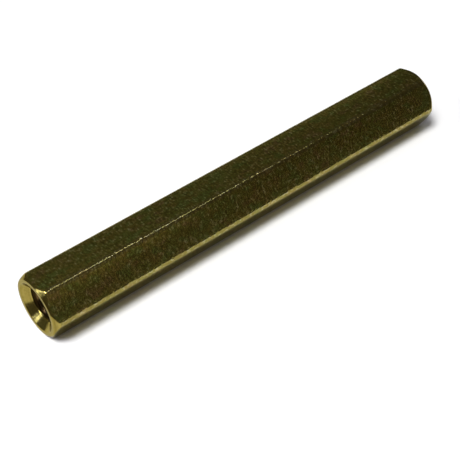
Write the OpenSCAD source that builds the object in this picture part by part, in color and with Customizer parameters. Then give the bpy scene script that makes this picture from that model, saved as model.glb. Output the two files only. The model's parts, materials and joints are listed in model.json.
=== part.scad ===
// Hex standoff: a spacer cut from drawn hexagon bar, with a tapped hole in each end.
// It lies along X on one of its flats. The origin is on that flat, at the middle of the length.

/* [Hexagon bar] */
// Distance between opposite flats
across_flats = 5.5; // [5.5:0.5:8]
// Overall length between the two end faces
length = 45; // [35:5:80]
// Radius of the bar's drawn corners
corner_radius = 0.55; // [0.2:0.05:0.8]

/* [Turned ends] */
// How far inside the flats the end chamfer starts
chamfer_inset = 0.08; // [0.02:0.01:0.2]
// Angle of the end chamfer, measured from the end face
chamfer_angle = 45; // [30:5:60]

/* [Tapped holes] */
// Nominal diameter of the thread
thread_diameter = 3; // [2.5:0.5:4]
// Pitch of the thread, which the tapping drill leaves as metal
thread_pitch = 0.5; // [0.45:0.05:0.7]
// Depth of the drilled hole at its full diameter
hole_depth = 12; // [6:0.5:14]
// Included angle of the drill's point
drill_point_angle = 118; // [90:1:140]
// Diameter of the countersink at the end face
countersink_diameter = 4.7; // [4:0.1:5]
// Included angle of the countersink
countersink_angle = 90; // [60:5:120]

/* [Hidden] */
$fn = 96;
brass = [0.66, 0.58, 0.30];
sides = 6;
half_side_angle = 180 / sides;
cut_overrun = 0.2;
axis_height = across_flats / 2;
// Centre of each corner's arc, and how far the arc reaches from the axis
corner_centre = (across_flats / 2 - corner_radius) / cos(half_side_angle);
corner_reach = corner_centre + corner_radius;
// The flats end this far inside the arcs, so that the two join without a sliver
arc_overlap = 0.0001;
// The turning tool's path clears the corners by the overrun
end_face_radius = across_flats / 2 - chamfer_inset;
turned_radius = corner_reach + cut_overrun;
chamfer_length = (turned_radius - end_face_radius) * tan(chamfer_angle);
drill_radius = (thread_diameter - thread_pitch) / 2;
drill_point_depth = drill_radius / tan(drill_point_angle / 2);
mouth_radius = countersink_diameter / 2;
countersink_flare = tan(countersink_angle / 2);
countersink_depth = (mouth_radius - drill_radius) / countersink_flare;

// Turns a shape drawn along Z to lie along X, with its section's Y pointing up
module along_bar() {
    rotate([90, 0, 90]) children();
}

// Section of the bar: flats at top and bottom, and a tangent arc at each corner
module bar_section() {
    polygon([
        for (corner = [0 : sides - 1], turn = [-half_side_angle, half_side_angle])
            let (direction = corner * 360 / sides)
            corner_centre * [cos(direction), sin(direction)]
            + (corner_radius - arc_overlap) * [cos(direction + turn), sin(direction + turn)]
    ]);
    for (corner = [0 : sides - 1])
        rotate(corner * 360 / sides) translate([corner_centre, 0]) circle(r = corner_radius);
}

// What the lathe leaves: a cylinder that clears the corners, with a chamfer at each end
module turned_envelope() {
    rotate_extrude() polygon([
        [0, 0],
        [end_face_radius, 0],
        [turned_radius, chamfer_length],
        [turned_radius, length - chamfer_length],
        [end_face_radius, length],
        [0, length]
    ]);
}

// Tapping-size hole with its countersink and drill point, entered at Z = 0
module tapped_hole() {
    rotate_extrude() polygon([
        [0, -cut_overrun],
        [mouth_radius + cut_overrun * countersink_flare, -cut_overrun],
        [drill_radius, countersink_depth],
        [drill_radius, hole_depth],
        [0, hole_depth + drill_point_depth]
    ]);
}

module hex_standoff() {
    color(brass) translate([0, 0, axis_height]) difference() {
        translate([-length / 2, 0, 0]) along_bar() intersection() {
            linear_extrude(length) bar_section();
            turned_envelope();
        }
        for (far_end = [0, 1])
            mirror([far_end, 0, 0]) translate([-length / 2, 0, 0]) along_bar() tapped_hole();
    }
}

hex_standoff();
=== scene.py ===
"""A brass hex standoff lying on one of its flats: drawn bar, turned ends and cut threads.

The bar is rebuilt as one closed mesh around its axis, with the threads that the solid leaves plain.
Sizes of the object are in millimetres, and everything in the scene is in metres.
"""

import json
import math

import bmesh
import bpy
import numpy as np
from mathutils import Matrix, Vector


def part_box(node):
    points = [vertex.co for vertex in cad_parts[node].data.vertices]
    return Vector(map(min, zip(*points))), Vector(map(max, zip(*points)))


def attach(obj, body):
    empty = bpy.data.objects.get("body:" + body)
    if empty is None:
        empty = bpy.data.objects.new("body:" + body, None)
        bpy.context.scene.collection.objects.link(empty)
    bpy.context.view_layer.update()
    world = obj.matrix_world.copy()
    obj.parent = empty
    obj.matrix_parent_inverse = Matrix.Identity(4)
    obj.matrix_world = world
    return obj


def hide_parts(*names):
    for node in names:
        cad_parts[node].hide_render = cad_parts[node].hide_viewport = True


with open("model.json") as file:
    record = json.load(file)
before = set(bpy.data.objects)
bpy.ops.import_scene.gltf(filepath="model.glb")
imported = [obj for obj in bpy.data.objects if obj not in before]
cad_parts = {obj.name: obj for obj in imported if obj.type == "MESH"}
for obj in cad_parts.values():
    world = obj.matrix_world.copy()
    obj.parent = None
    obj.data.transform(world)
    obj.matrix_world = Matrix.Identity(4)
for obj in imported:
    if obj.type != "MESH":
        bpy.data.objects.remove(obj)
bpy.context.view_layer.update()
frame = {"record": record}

MM = 0.001
NODE = "hex_standoff"

# Sizes read from the frame
low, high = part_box(NODE)
mounts = {mount["name"]: mount for mount in frame["record"]["mounts"]}
LENGTH = (high.x - low.x) / MM
ACROSS_FLATS = (high.z - low.z) / MM
CORNER_REACH = min(high.y, -low.y) / MM
AXIS_HEIGHT = (high.z + low.z) / 2 / MM
DRILL_RADIUS = mounts["thread_x_minus"]["dims"]["r_mm"]
WALL_LENGTH = mounts["thread_x_minus"]["dims"]["length_mm"]

# The bar's section: each corner is an arc between two flats, which end at FLAT_END_RADIUS from the axis
SIDES = 6
HALF_SIDE = math.pi / SIDES
SHARP_REACH = ACROSS_FLATS / 2 / math.cos(HALF_SIDE)
CORNER_RADIUS = (SHARP_REACH - CORNER_REACH) / (1 / math.cos(HALF_SIDE) - 1)
CORNER_CENTRE = CORNER_REACH - CORNER_RADIUS
FLAT_END_RADIUS = math.hypot(ACROSS_FLATS / 2, CORNER_CENTRE * math.sin(HALF_SIDE))

# The turned ends: chamfer and countersink both slope at 45 degrees
CHAMFER_INSET = 0.08
END_FACE_RADIUS = ACROSS_FLATS / 2 - CHAMFER_INSET
MOUTH_RADIUS = 2.35

# Reach of the eased edges at the mouth, at the end face's rim and between chamfer and bar.
# The last takes at most a share of the chamfer, which is short where it meets a flat.
MOUTH_EDGE = 0.05
FACE_EDGE = 0.02
TUMBLED_EDGE = 0.12
EDGE_SHARE = 0.45
DIAGONAL = math.sqrt(0.5)
FACE_EDGE_DEPTH = FACE_EDGE * DIAGONAL

# The tapped holes. The phase, in turns, sets where the groove opens. The lead clears the crests away
# there, the groove narrows over the length of the bell, and past its full depth it runs out.
PITCH = 0.5
THREAD_PHASE = -0.09
FLANK_ANGLE = math.radians(30)
GROOVE_RADIUS = 1.53
THREAD_START_RADIUS = 1.70
THREAD_START_EDGE = 0.03
THREAD_START_LAND = 0.05
THREAD_START_DEPTH = MOUTH_RADIUS - THREAD_START_RADIUS + THREAD_START_EDGE + THREAD_START_LAND
LEAD_LENGTH = 0.12
BELL_LENGTH = 0.9
THREAD_DEPTH = 9.0
THREAD_RUNOUT = 1.5
HOLE_DEPTH = WALL_LENGTH + MOUTH_RADIUS - DRILL_RADIUS
DRILL_POINT_HALF_ANGLE = math.radians(59)
DRILL_POINT_DEPTH = DRILL_RADIUS / math.tan(DRILL_POINT_HALF_ANGLE)

# How finely the mesh is divided, and how close two points are to become one
ARC_STEPS = 10
FLAT_STEPS = 14
CONE_STEPS = 6
FACE_STEPS = 4
CHAMFER_STEPS = 4
SMALL_EDGE_STEPS = 3
TUMBLED_EDGE_STEPS = 6
BODY_STEPS = 60
FLANK_STEPS = 3
DRILL_POINT_STEPS = 4
WELD = 0.0004

# The object's materials, in the order of its slots
DRAWN, TURNED, TAPPED = range(3)


def between(first, last, steps):
    """Evenly spaced values from first to last, without those two."""
    return np.linspace(first, last, steps + 1)[1:-1]


def corner_point(facing, normal):
    """The point on the arc of the corner that faces one angle, where the surface faces another."""
    return np.array([
        CORNER_CENTRE * math.cos(facing) + CORNER_RADIUS * math.cos(normal),
        CORNER_CENTRE * math.sin(facing) + CORNER_RADIUS * math.sin(normal),
    ])


def bar_section():
    """Points round the bar's section as (angle, radius), from the start of a corner's arc."""
    points = []
    for corner in range(SIDES):
        facing = corner * 2 * HALF_SIDE
        flat_facing = facing + HALF_SIDE
        for normal in np.linspace(facing - HALF_SIDE, flat_facing, ARC_STEPS + 1):
            points.append(corner_point(facing, normal))
        flat_end = corner_point(facing + 2 * HALF_SIDE, flat_facing)
        points.extend(between(points[-1], flat_end, FLAT_STEPS))
    across, up = np.transpose(points)
    return np.unwrap(np.arctan2(up, across)), np.hypot(across, up)


def eased_corner(before, corner, after):
    """Points of a small rounded edge between two points of a profile, by a quadratic curve."""
    before, corner, after = (np.array(point, float) for point in (before, corner, after))
    for t in np.linspace(0, 1, SMALL_EDGE_STEPS + 1):
        yield (1 - t) ** 2 * before + 2 * t * (1 - t) * corner + t ** 2 * after


def soft_min(a, b, width):
    """The smaller of two values, with a round blend where they differ by less than width."""
    return np.minimum(a, b) - np.maximum(width - np.abs(a - b), 0) ** 2 / (4 * width)


def countersink_profile():
    """Points (depth, radius) from the thread's start to the end face, where the depth is zero."""
    land = THREAD_START_DEPTH - THREAD_START_LAND
    bottom = land - THREAD_START_EDGE * (1 + DIAGONAL)
    top = MOUTH_EDGE * DIAGONAL
    yield THREAD_START_DEPTH, THREAD_START_RADIUS
    yield from eased_corner(
        (land, THREAD_START_RADIUS),
        (land - THREAD_START_EDGE, THREAD_START_RADIUS),
        (bottom, MOUTH_RADIUS - bottom),
    )
    for depth in between(bottom, top, CONE_STEPS):
        yield depth, MOUTH_RADIUS - depth
    yield from eased_corner((top, MOUTH_RADIUS - top), (0, MOUTH_RADIUS), (0, MOUTH_RADIUS + MOUTH_EDGE))


def end_face_profile():
    """Points (depth, radius) across the end face and over its rim to the chamfer."""
    inner = MOUTH_RADIUS + MOUTH_EDGE
    outer = END_FACE_RADIUS - FACE_EDGE
    for radius in between(inner, outer, FACE_STEPS):
        yield 0, radius
    chamfer_start = (FACE_EDGE_DEPTH, END_FACE_RADIUS + FACE_EDGE_DEPTH)
    yield from eased_corner((0, outer), (0, END_FACE_RADIUS), chamfer_start)


def chamfer_rings(bar_radius):
    """Rings (depth, radius) down the chamfer and over the tumbled edge, deepest at the corners."""
    length = bar_radius - END_FACE_RADIUS
    ease = np.minimum(TUMBLED_EDGE, EDGE_SHARE * length)
    for depth in between(FACE_EDGE_DEPTH, length - ease, CHAMFER_STEPS):
        yield depth, END_FACE_RADIUS + depth
    for depth in np.linspace(length - ease, length + ease, TUMBLED_EDGE_STEPS + 1):
        yield depth, soft_min(bar_radius, END_FACE_RADIUS + depth, ease)


def outer_rings(bar_radius):
    """Rings (material, depth, radius) from the thread's start over the end to the bar's middle."""
    turned = [*countersink_profile(), *end_face_profile(), *chamfer_rings(bar_radius)]
    for depth, radius in turned:
        yield TURNED, depth, radius
    bar_start = turned[-1][0]
    for depth in np.linspace(bar_start, LENGTH / 2, BODY_STEPS + 1)[1:]:
        yield DRAWN, depth, bar_radius


def thread_profile():
    """One pitch of the thread as (distance along it, share of the groove's depth), crest first."""
    flank = (GROOVE_RADIUS - DRILL_RADIUS) * math.tan(FLANK_ANGLE)
    root = PITCH / 8
    crest = PITCH - root - 2 * flank
    shares = np.linspace(0, 1, FLANK_STEPS + 1)
    into_groove = [(crest + flank * share, share) for share in shares]
    out_of_groove = [(PITCH - flank * share, share) for share in shares[:0:-1]]
    return [(0, 0), *into_groove, *out_of_groove]


def thread_radius(depth, groove):
    """Radius of the hole's wall at a depth, for a share of the groove's depth."""
    inside = depth - THREAD_START_DEPTH
    bell = np.clip(1 - inside / BELL_LENGTH, 0, 1)
    lead = np.clip(1 - inside / LEAD_LENGTH, 0, 1)
    runout = np.clip((THREAD_DEPTH + THREAD_RUNOUT - depth) / THREAD_RUNOUT, 0, 1)
    reach = GROOVE_RADIUS + (THREAD_START_RADIUS - GROOVE_RADIUS) * bell
    wall = DRILL_RADIUS + (reach - DRILL_RADIUS) * np.maximum(groove * runout, lead)
    return np.maximum(wall, MOUTH_RADIUS - depth)


def hole_rows(angle):
    """Rows (depth, radius) that climb along the thread, from the countersink to the end of the wall."""
    turn = (angle - angle[0]) / (2 * math.pi) + THREAD_PHASE
    # The spare turns at both ends are pressed flat by the limits on the depth
    for number in range(-1, math.ceil(HOLE_DEPTH / PITCH) + 2):
        for along, groove in thread_profile():
            depth = np.clip((number + turn) * PITCH + along, THREAD_START_DEPTH, HOLE_DEPTH)
            yield depth, thread_radius(depth, groove)


class Skin:
    """Rings of points round the bar's axis, with the faces between them and the faces' materials."""

    def __init__(self, angle):
        self.angle = angle
        self.columns = len(angle)
        self.rings = []
        self.faces = []
        self.materials = []

    def add_ring(self, depth, radius):
        """Adds a ring, its depth measured from the lowest X, and returns the number of its first point."""
        depth, radius, angle = np.broadcast_arrays(depth, radius, self.angle)
        self.rings.append(np.stack([
            low.x + depth * MM,
            radius * np.cos(angle) * MM,
            AXIS_HEIGHT * MM + radius * np.sin(angle) * MM,
        ], axis=1))
        return self.columns * (len(self.rings) - 1)

    def add_face(self, corners, material):
        """Adds a face, given by the numbers of its points."""
        self.faces.append(corners)
        self.materials.append(material)

    def add_band(self, first, second, material):
        """Adds the faces between two rings, given by the numbers of their first points."""
        for column in range(self.columns):
            after = (column + 1) % self.columns
            self.add_face((first + column, first + after, second + after, second + column), material)


def add_outside(skin, bar_radius):
    """Adds the countersink, the end face, the chamfer and the bar as far as its middle."""
    previous = None
    for material, depth, radius in outer_rings(bar_radius):
        ring = skin.add_ring(depth, radius)
        if previous is not None:
            skin.add_band(ring, previous, material)
        previous = ring


def add_hole(skin):
    """Adds the thread, where each row runs on into the row one pitch further in, and the drill's point."""
    rows = [skin.add_ring(depth, radius) for depth, radius in hole_rows(skin.angle)]
    pitch_rows = len(thread_profile())
    last = skin.columns - 1
    for row in range(len(rows) - 1):
        here, inward = rows[row:row + 2]
        for column in range(last):
            after = column + 1
            skin.add_face((here + column, here + after, inward + after, inward + column), TAPPED)
        next_turn = rows[row + pitch_rows:row + pitch_rows + 2]
        if len(next_turn) == 2:
            skin.add_face((here + last, *next_turn, inward + last), TAPPED)
    previous = rows[-1]
    for share in np.linspace(0, 1, DRILL_POINT_STEPS + 1)[1:]:
        ring = skin.add_ring(HOLE_DEPTH + DRILL_POINT_DEPTH * share, DRILL_RADIUS * (1 - share))
        skin.add_band(previous, ring, TAPPED)
        previous = ring


def weight_normals(mesh):
    """Sets each point's normal from the faces round it, by their area, so that flats stay flat."""
    normals = np.zeros((len(mesh.vertices), 3))
    for face in mesh.polygons:
        normals[list(face.vertices)] += np.array(face.normal) * face.area
    normals /= np.linalg.norm(normals, axis=1, keepdims=True)
    mesh.normals_split_custom_set_from_vertices(normals.tolist())


def standoff_mesh():
    """Two halves, the second turned half round about the upright axis, welded into one closed mesh."""
    angle, bar_radius = bar_section()
    half = Skin(angle)
    add_outside(half, bar_radius)
    add_hole(half)
    points = np.concatenate(half.rings)
    turned_points = points * np.array([-1, -1, 1])
    turned_faces = [tuple(corner + len(points) for corner in face) for face in half.faces]
    mesh = bpy.data.meshes.new(NODE)
    mesh.from_pydata(np.concatenate([points, turned_points]).tolist(), [], half.faces + turned_faces)
    mesh.polygons.foreach_set("material_index", half.materials * 2)
    built = bmesh.new()
    built.from_mesh(mesh)
    bmesh.ops.remove_doubles(built, verts=built.verts, dist=WELD * MM)
    bmesh.ops.dissolve_degenerate(built, edges=built.edges, dist=WELD * MM)
    bmesh.ops.recalc_face_normals(built, faces=built.faces)
    built.to_mesh(mesh)
    built.free()
    mesh.shade_smooth()
    weight_normals(mesh)
    return mesh


# Colours of all brass at a grazing angle and of the turned ends, and the thread's two colours, which are
# painted shade: dark inside the hole and darkest deep in the groove
BRASS_GRAZING = (0.72, 0.70, 0.57, 1)
BRASS_TURNED = (0.225, 0.172, 0.034, 1)
BRASS_PALE = (0.355, 0.280, 0.069, 1)
BRASS_SHADED_CREST = (0.16, 0.100, 0.036, 1)
BRASS_SHADED_GROOVE = (0.022, 0.012, 0.003, 1)

# Colours of the drawn flats, and of the corners that tumbling has polished
BRASS_DARK = (0.15, 0.12, 0.020, 1)
BRASS_OLIVE = (0.32, 0.315, 0.060, 1)
BRASS_BROWN = (0.40, 0.29, 0.062, 1)
BRASS_GREEN = (0.27, 0.34, 0.075, 1)
BRASS_RED = (0.45, 0.26, 0.11, 1)
BRASS_FLECK = (0.68, 0.60, 0.32, 1)
BRASS_CORNER = (0.210, 0.169, 0.050, 1)
BRASS_GLINT = (0.46, 0.41, 0.21, 1)

# Distances from the axis between which the flats become polished corners, and between which the groove's
# painted shade lightens towards its crests
POLISH_START = FLAT_END_RADIUS - 0.03
POLISH_FULL = FLAT_END_RADIUS + 0.01
GROOVE_FULL_SHADE = GROOVE_RADIUS - 0.06
CREST_LEAST_SHADE = DRILL_RADIUS + 0.10

# Heights of the relief that the materials add
CROWN_HEIGHT = 0.03
DENT_DEPTH = 0.03
TOOL_RING_DEPTH = 0.006
TURNED_GRAIN_DEPTH = 0.004
CUT_GRAIN_DEPTH = 0.002


class Graph:
    """The nodes of a material or a world, added one at a time and joined as they are made."""

    def __init__(self, owner):
        owner.use_nodes = True
        self.owner = owner
        self.nodes = owner.node_tree.nodes
        self.links = owner.node_tree.links

    def feed(self, socket, value):
        """Links a socket to another node's output, or sets it to a plain value."""
        if isinstance(value, bpy.types.NodeSocket):
            self.links.new(value, socket)
        else:
            socket.default_value = value

    def add(self, kind, inputs=(), **settings):
        """Makes a node with its settings, and feeds its inputs by name or number."""
        node = self.nodes.new(kind)
        for name, value in settings.items():
            setattr(node, name, value)
        for name, value in dict(inputs).items():
            self.feed(node.inputs[name], value)
        return node

    def math(self, operation, a, b=0.0):
        """The result of an operation on one value or two."""
        return self.add("ShaderNodeMath", {0: a, 1: b}, operation=operation).outputs[0]

    def spread(self, value, low_in, high_in, low_out, high_out):
        """Maps a range of one value onto another range, and stays at its ends beyond it."""
        return self.add("ShaderNodeMapRange", {
            "Value": value, "From Min": low_in, "From Max": high_in, "To Min": low_out, "To Max": high_out,
        }).outputs["Result"]

    def average(self, share, a, b):
        """A value between two values, at a share of the way from the first to the second."""
        return self.math("ADD", self.math("MULTIPLY", a, 1 - share), self.math("MULTIPLY", b, share))

    def mix(self, share, a, b):
        """A colour between two colours, at a share of the way from the first to the second."""
        return self.add("ShaderNodeMix", {0: share, 6: a, 7: b}, data_type="RGBA").outputs[2]

    def stretched(self, vector, scale, turn=0.0):
        """A place scaled along each axis, and turned about the upright one by an angle in degrees."""
        return self.add("ShaderNodeMapping", {
            "Vector": vector, "Scale": scale, "Rotation": (0, 0, math.radians(turn)),
        }).outputs["Vector"]

    def millimetres(self):
        """Place on the object, in millimetres."""
        return self.stretched(self.add("ShaderNodeTexCoord").outputs["Object"], (1 / MM,) * 3)

    def radius(self, at):
        """Distance from the bar's axis, in millimetres."""
        parts = self.add("ShaderNodeSeparateXYZ", {"Vector": at}).outputs
        across = self.math("POWER", parts["Y"], 2.0)
        up = self.math("POWER", self.math("SUBTRACT", parts["Z"], AXIS_HEIGHT), 2.0)
        return self.math("SQRT", self.math("ADD", across, up))

    def noise(self, at, scale, detail, roughness=0.5):
        """Noise from 0 to 1, whose scale is about the number of spots in a millimetre."""
        return self.add("ShaderNodeTexNoise", {
            "Vector": at, "Scale": scale, "Detail": detail, "Roughness": roughness,
        }).outputs["Fac"]

    def rings(self, radius, scale, detail):
        """Noise that depends on the distance from the axis alone."""
        return self.add("ShaderNodeTexNoise", {
            "W": radius, "Scale": scale, "Detail": detail,
        }, noise_dimensions="1D").outputs["Fac"]

    def bump(self, height, depth, before=None):
        """Relief whose full height is depth, in millimetres, on top of any relief before it."""
        inputs = {"Height": height, "Distance": depth * MM}
        if before is not None:
            inputs["Normal"] = before
        return self.add("ShaderNodeBump", inputs).outputs["Normal"]

    def brass(self, colour, roughness, normal):
        """Makes the shader bare metal, and returns the material."""
        shader = self.nodes["Principled BSDF"].inputs
        self.feed(shader["Metallic"], 1.0)
        self.feed(shader["Specular Tint"], BRASS_GRAZING)
        self.feed(shader["Base Color"], colour)
        self.feed(shader["Roughness"], roughness)
        self.feed(shader["Normal"], normal)
        return self.owner


def drawn_brass():
    """Flats and corners of the drawn bar: dulled by tumbling and slightly crowned, with fine flecks."""
    g = Graph(bpy.data.materials.new("drawn_brass"))
    at = g.millimetres()
    radius = g.radius(at)
    corner = g.spread(radius, POLISH_START, POLISH_FULL, 0, 1)
    crown = g.spread(radius, ACROSS_FLATS / 2, FLAT_END_RADIUS, 1, 0)
    grain = g.noise(at, 5.0, detail=1.0, roughness=0.6)
    strokes = g.noise(g.stretched(at, (6.0, 2.2, 2.2), turn=12), 1.0, detail=1.5)
    hue = g.noise(at, 1.0, detail=1.5)
    cloud = g.noise(at, 0.3, detail=2.0)
    tone = g.average(0.5, grain, strokes)
    tarnish = g.noise(g.stretched(at, (0.7, 1, 1)), 0.95, detail=2.0, roughness=0.6)
    warm = g.mix(g.spread(hue, 0.35, 0.65, 0, 1), BRASS_OLIVE, BRASS_BROWN)
    warm = g.mix(g.spread(tarnish, 0.57, 0.66, 0, 0.7), warm, BRASS_RED)
    warm = g.mix(g.spread(tarnish, 0.46, 0.36, 0, 0.8), warm, BRASS_GREEN)
    colour = g.mix(g.spread(tone, 0.35, 0.60, 0, 1), BRASS_DARK, warm)
    colour = g.mix(g.spread(tone, 0.56, 0.72, 0, 1), colour, BRASS_FLECK)
    colour = g.mix(g.spread(cloud, 0.3, 0.7, 0, 0.2), colour, BRASS_OLIVE)
    glitter = g.noise(at, 4.0, detail=1.5)
    polished = g.mix(g.spread(glitter, 0.56, 0.66, 0, 1), BRASS_CORNER, BRASS_GLINT)
    colour = g.mix(g.math("MULTIPLY", corner, 0.65), colour, polished)
    roughness = g.spread(corner, 0, 1, 0.15, 0.11)
    dents = g.math("MULTIPLY", g.math("SUBTRACT", glitter, 0.5), corner)
    normal = g.bump(dents, DENT_DEPTH, g.bump(crown, CROWN_HEIGHT))
    return g.brass(colour, roughness, normal)


def turned_brass():
    """End faces, chamfers, countersinks and their edges: bright metal with rings left by the tool."""
    g = Graph(bpy.data.materials.new("turned_brass"))
    at = g.millimetres()
    radius = g.radius(at)
    rings = g.rings(radius, 14.0, detail=2.0)
    bands = g.rings(radius, 4.5, detail=1.0)
    grain = g.noise(at, 4.0, detail=3.0, roughness=0.6)
    shade = g.average(0.6, grain, bands)
    colour = g.mix(g.spread(shade, 0.35, 0.65, 0, 1), BRASS_TURNED, BRASS_PALE)
    roughness = g.spread(grain, 0.3, 0.7, 0.18, 0.10)
    worn = g.spread(radius, FLAT_END_RADIUS - TUMBLED_EDGE, FLAT_END_RADIUS, 0, 1)
    dents = g.math("MULTIPLY", g.math("SUBTRACT", g.noise(at, 4.0, detail=1.5), 0.5), worn)
    normal = g.bump(grain, TURNED_GRAIN_DEPTH, g.bump(rings, TOOL_RING_DEPTH))
    return g.brass(colour, roughness, g.bump(dents, DENT_DEPTH, normal))


def tapped_brass():
    """Thread and drilled wall: dull cut metal, darkened with painted shade inside the hole and darkest deep
    in the groove.
    """
    g = Graph(bpy.data.materials.new("tapped_brass"))
    at = g.millimetres()
    grain = g.noise(at, 5.0, detail=3.0, roughness=0.6)
    # Painted shade: darkest deep in the groove, lighter on the crests and the drilled wall
    crest = g.spread(g.radius(at), GROOVE_FULL_SHADE, CREST_LEAST_SHADE, 0, 1)
    less_shade = g.math("MULTIPLY", crest, g.spread(grain, 0.35, 0.65, 0.6, 1))
    colour = g.mix(less_shade, BRASS_SHADED_GROOVE, BRASS_SHADED_CREST)
    roughness = g.spread(crest, 0, 1, 0.28, 0.12)
    return g.brass(colour, roughness, g.bump(grain, CUT_GRAIN_DEPTH))


def standoff():
    """The whole object, in place of the plain solid."""
    piece = bpy.data.objects.new("standoff", standoff_mesh())
    bpy.context.scene.collection.objects.link(piece)
    for material in (drawn_brass(), turned_brass(), tapped_brass()):
        piece.data.materials.append(material)
    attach(piece, "root")
    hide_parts(NODE)


# The floor's reach from the origin and its gap under the bar, and the card's gap past the near end
FLOOR_REACH = 1.0
FLOOR_GAP = 0.01 * MM
CARD_GAP = 10.0 * MM
FLOOR_WHITE = (0.97, 0.97, 0.97, 1)
CARD_GREY = (0.13, 0.12, 0.11, 1)


def matt_sheet(name, right, height, colour):
    """A flat sheet of one matt colour, from the floor's edge at the lowest X as far as X = right."""
    mesh = bpy.data.meshes.new(name)
    mesh.from_pydata([
        (-FLOOR_REACH, -FLOOR_REACH, height),
        (right, -FLOOR_REACH, height),
        (right, FLOOR_REACH, height),
        (-FLOOR_REACH, FLOOR_REACH, height),
    ], [], [(0, 1, 2, 3)])
    g = Graph(bpy.data.materials.new(name))
    shader = g.nodes["Principled BSDF"].inputs
    g.feed(shader["Base Color"], colour)
    g.feed(shader["Roughness"], 0.9)
    g.feed(shader["Specular IOR Level"], 0.0)
    mesh.materials.append(g.owner)
    sheet = bpy.data.objects.new(name, mesh)
    bpy.context.scene.collection.objects.link(sheet)
    return sheet


def floor():
    """A plain white floor, wide enough to fill the picture."""
    matt_sheet("floor", FLOOR_REACH, low.z - FLOOR_GAP, FLOOR_WHITE)


def dim_card():
    """A dim card on the floor past the near end, which only the metal's reflections show."""
    card = matt_sheet("dim_card", low.x - CARD_GAP, low.z, CARD_GREY)
    card.visible_camera = False
    card.visible_diffuse = False
    card.visible_shadow = False


def towards(heading, elevation):
    """Unit vector along a heading, turned from +X towards +Y, and an elevation, both in degrees."""
    heading, elevation = math.radians(heading), math.radians(elevation)
    return Vector((
        math.cos(heading) * math.cos(elevation),
        math.sin(heading) * math.cos(elevation),
        math.sin(elevation),
    ))


# Colours of the lamps
WHITE = (1, 1, 1)
DAYLIGHT = (0.92, 1.0, 1.5)
LAMPLIGHT = (1.0, 0.9, 0.7)


def softbox(name, heading, elevation, distance, width, height, radiance, colour=WHITE):
    """An area lamp, measured in metres, that faces the origin. A lamp of radiance 1 looks white."""
    away = towards(heading, elevation)
    lamp = bpy.data.lights.new(name, "AREA")
    lamp.shape = "RECTANGLE"
    lamp.size = width
    lamp.size_y = height
    lamp.color = colour
    lamp.energy = radiance * math.pi * width * height
    obj = bpy.data.objects.new(name, lamp)
    obj.location = away * distance
    obj.rotation_euler = away.to_track_quat("Z", "Y").to_euler()
    bpy.context.scene.collection.objects.link(obj)


def studio():
    """The key light, three lights that gleam on the near end and the ridge, and two that lift the flats."""
    softbox("key_softbox", heading=202, elevation=67, distance=0.8, width=0.26, height=0.26, radiance=30)
    softbox(
        "left_softbox", heading=163, elevation=32, distance=0.6, width=0.115, height=0.28,
        radiance=4.2, colour=DAYLIGHT,
    )
    softbox(
        "left_strip", heading=175.5, elevation=22.5, distance=0.6, width=0.05, height=0.06,
        radiance=3.5, colour=DAYLIGHT,
    )
    softbox(
        "top_light", heading=-27, elevation=67.5, distance=0.7, width=0.025, height=0.26,
        radiance=7, colour=DAYLIGHT,
    )
    softbox("back_softbox", heading=61, elevation=24, distance=0.8, width=0.45, height=0.28, radiance=0.14)
    softbox(
        "front_softbox", heading=-76, elevation=33, distance=0.7, width=0.30, height=0.45,
        radiance=0.13, colour=LAMPLIGHT,
    )


# Tints of the room in front of the bar and behind it, and its brightness past each end and overhead
ROOM_WARM = (1.0, 0.94, 0.88, 1)
ROOM_GREEN = (1.19, 1.22, 1.19, 1)
ROOM_NEAR_END = 0.13
ROOM_FAR_END = 0.065
ROOM_OVERHEAD = 0.055


def room():
    """A dim room, lighter past the near end and overhead, warmer in front and greener behind."""
    g = Graph(bpy.data.worlds.new("room"))
    facing = g.add("ShaderNodeTexCoord").outputs["Generated"]
    parts = g.add("ShaderNodeSeparateXYZ", {"Vector": facing}).outputs
    ends = g.spread(parts["X"], 0.2, 0.8, ROOM_NEAR_END, ROOM_FAR_END)
    overhead = g.spread(parts["Z"], 0.70, 0.85, 0.0, ROOM_OVERHEAD)
    tint = g.add("ShaderNodeValToRGB", {"Fac": parts["Y"]})
    front, back = tint.color_ramp.elements
    front.color = ROOM_WARM
    back.color = ROOM_GREEN
    back.position = 0.5
    background = g.nodes["Background"].inputs
    g.feed(background["Color"], tint.outputs["Color"])
    g.feed(background["Strength"], g.math("ADD", ends, overhead))
    bpy.context.scene.world = g.owner


# The camera at the photograph's viewing angle: degrees and millimetres, apart from the clipping in metres
VIEW_HEADING = 51.75
VIEW_ELEVATION = -42.22
VIEW_ROLL = -2.32
VIEW_AIM = (-4.251, -3.335, AXIS_HEIGHT)
VIEW_DISTANCE = 101.40
SENSOR_WIDTH = 36.0
FOCAL_LENGTH = 89.54
CLIP_START = 0.005
CLIP_END = 20.0


def camera():
    """The camera, turned about its own line of sight by the roll."""
    data = bpy.data.cameras.new("camera")
    data.sensor_width = SENSOR_WIDTH
    data.lens = FOCAL_LENGTH
    data.clip_start = CLIP_START
    data.clip_end = CLIP_END
    ahead = towards(VIEW_HEADING, VIEW_ELEVATION)
    place = Matrix.Translation((Vector(VIEW_AIM) - ahead * VIEW_DISTANCE) * MM)
    roll = Matrix.Rotation(math.radians(VIEW_ROLL), 4, "Z")
    obj = bpy.data.objects.new("camera", data)
    obj.matrix_world = place @ ahead.to_track_quat("-Z", "Y").to_matrix().to_4x4() @ roll
    bpy.context.scene.collection.objects.link(obj)
    bpy.context.scene.camera = obj


camera()
standoff()
floor()
dim_card()
studio()
room()
bpy.context.scene.view_settings.view_transform = "Standard"
